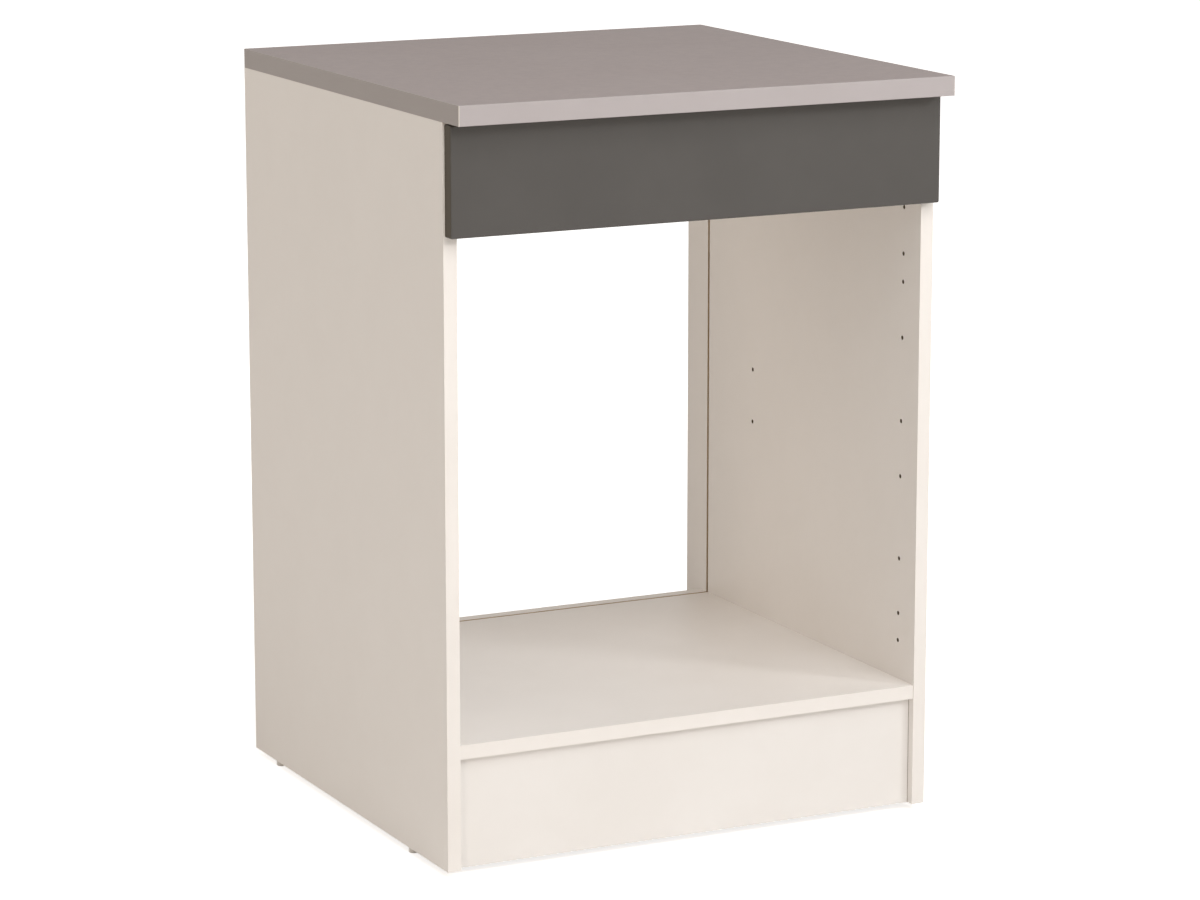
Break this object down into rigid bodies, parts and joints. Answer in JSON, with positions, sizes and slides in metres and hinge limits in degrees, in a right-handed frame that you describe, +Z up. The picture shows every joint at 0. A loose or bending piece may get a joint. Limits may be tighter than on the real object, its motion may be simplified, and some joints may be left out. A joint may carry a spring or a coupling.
{
  "type": "oven base unit",
  "caption": "Kitchen base cabinet for a built-under oven: an open niche between drilled sides, with a bottom panel, a plinth board, a dark fascia and a laminated worktop.",
  "frame": {"origin": "on the floor, under the middle of the worktop", "axes": "+X to the right seen from the front, +Y from the front to the wall, +Z up"},
  "size_m": [0.6, 0.6, 0.85],
  "materials": {
    "carcass_board": "matt white melamine on chipboard",
    "edge_band": "satin white band",
    "worktop_core": "raw chipboard",
    "worktop_laminate": "fine matt stone-grey laminate",
    "worktop_band": "satin grey band",
    "backing_sheet": "plain brown balancing sheet",
    "fascia_board": "dark grey wrapped board",
    "zinc_steel": "zinc plated",
    "cam_zinc": "die-cast zinc",
    "dowel_wood": "fluted beech",
    "fitting_plastic": "moulded white plastic",
    "glide_plastic": "moulded grey plastic"
  },
  "bodies": {
    "carcass": {"bottom_panel": "carcass_board", "bottom_panel_cam_bolts": "zinc_steel", "bottom_panel_dowels": "dowel_wood", "bottom_panel_edge_band": "edge_band", "fascia": "fascia_board", "fascia_bracket_left": "zinc_steel", "fascia_bracket_right": "zinc_steel", "fascia_bracket_screws": "zinc_steel", "front_rail_edge_band": "edge_band", "front_top_rail": "carcass_board", "glide_front_left": "glide_plastic", "glide_front_right": "glide_plastic", "glide_nails": "zinc_steel", "glide_rear_left": "glide_plastic", "glide_rear_right": "glide_plastic", "left_side_edge_band": "edge_band", "left_side_panel": "carcass_board", "plinth_block_left": "fitting_plastic", "plinth_block_right": "fitting_plastic", "plinth_block_screws": "zinc_steel", "plinth_board": "carcass_board", "plinth_dowels": "dowel_wood", "rear_rail_edge_band": "edge_band", "rear_top_rail": "carcass_board", "right_side_edge_band": "edge_band", "right_side_panel": "carcass_board", "top_rail_cam_bolts": "zinc_steel", "top_rail_dowels": "dowel_wood", "worktop_backing_sheet": "backing_sheet", "worktop_core": "worktop_core", "worktop_front_band": "worktop_band", "worktop_laminate": "worktop_laminate", "worktop_left_band": "worktop_band", "worktop_right_band": "worktop_band", "worktop_screws": "zinc_steel"},
    "cam_bottom_front_left": {"cam_bottom_front_left": "cam_zinc"},
    "cam_bottom_rear_left": {"cam_bottom_rear_left": "cam_zinc"},
    "cam_front_rail_left": {"cam_front_rail_left": "cam_zinc"},
    "cam_rear_rail_left": {"cam_rear_rail_left": "cam_zinc"},
    "cam_bottom_front_right": {"cam_bottom_front_right": "cam_zinc"},
    "cam_bottom_rear_right": {"cam_bottom_rear_right": "cam_zinc"},
    "cam_front_rail_right": {"cam_front_rail_right": "cam_zinc"},
    "cam_rear_rail_right": {"cam_rear_rail_right": "cam_zinc"}
  },
  "joints": [
    {"name": "cam_bottom_front_left_lock", "type": "hinge", "parent": "carcass", "child": "cam_bottom_front_left", "pos_m": [-0.26, -0.221, 0.13925], "axis": [0, 0, 1], "range_deg": [-190, 0]},
    {"name": "cam_bottom_rear_left_lock", "type": "hinge", "parent": "carcass", "child": "cam_bottom_rear_left", "pos_m": [-0.26, 0.195, 0.13925], "axis": [0, 0, 1], "range_deg": [-190, 0]},
    {"name": "cam_front_rail_left_lock", "type": "hinge", "parent": "carcass", "child": "cam_front_rail_left", "pos_m": [-0.26, -0.221, 0.81825], "axis": [0, 0, 1], "range_deg": [-190, 0]},
    {"name": "cam_rear_rail_left_lock", "type": "hinge", "parent": "carcass", "child": "cam_rear_rail_left", "pos_m": [-0.26, 0.195, 0.81825], "axis": [0, 0, 1], "range_deg": [-190, 0]},
    {"name": "cam_bottom_front_right_lock", "type": "hinge", "parent": "carcass", "child": "cam_bottom_front_right", "pos_m": [0.26, -0.221, 0.13925], "axis": [0, 0, 1], "range_deg": [-190, 0]},
    {"name": "cam_bottom_rear_right_lock", "type": "hinge", "parent": "carcass", "child": "cam_bottom_rear_right", "pos_m": [0.26, 0.195, 0.13925], "axis": [0, 0, 1], "range_deg": [-190, 0]},
    {"name": "cam_front_rail_right_lock", "type": "hinge", "parent": "carcass", "child": "cam_front_rail_right", "pos_m": [0.26, -0.221, 0.81825], "axis": [0, 0, 1], "range_deg": [-190, 0]},
    {"name": "cam_rear_rail_right_lock", "type": "hinge", "parent": "carcass", "child": "cam_rear_rail_right", "pos_m": [0.26, 0.195, 0.81825], "axis": [0, 0, 1], "range_deg": [-190, 0]}
  ]
}
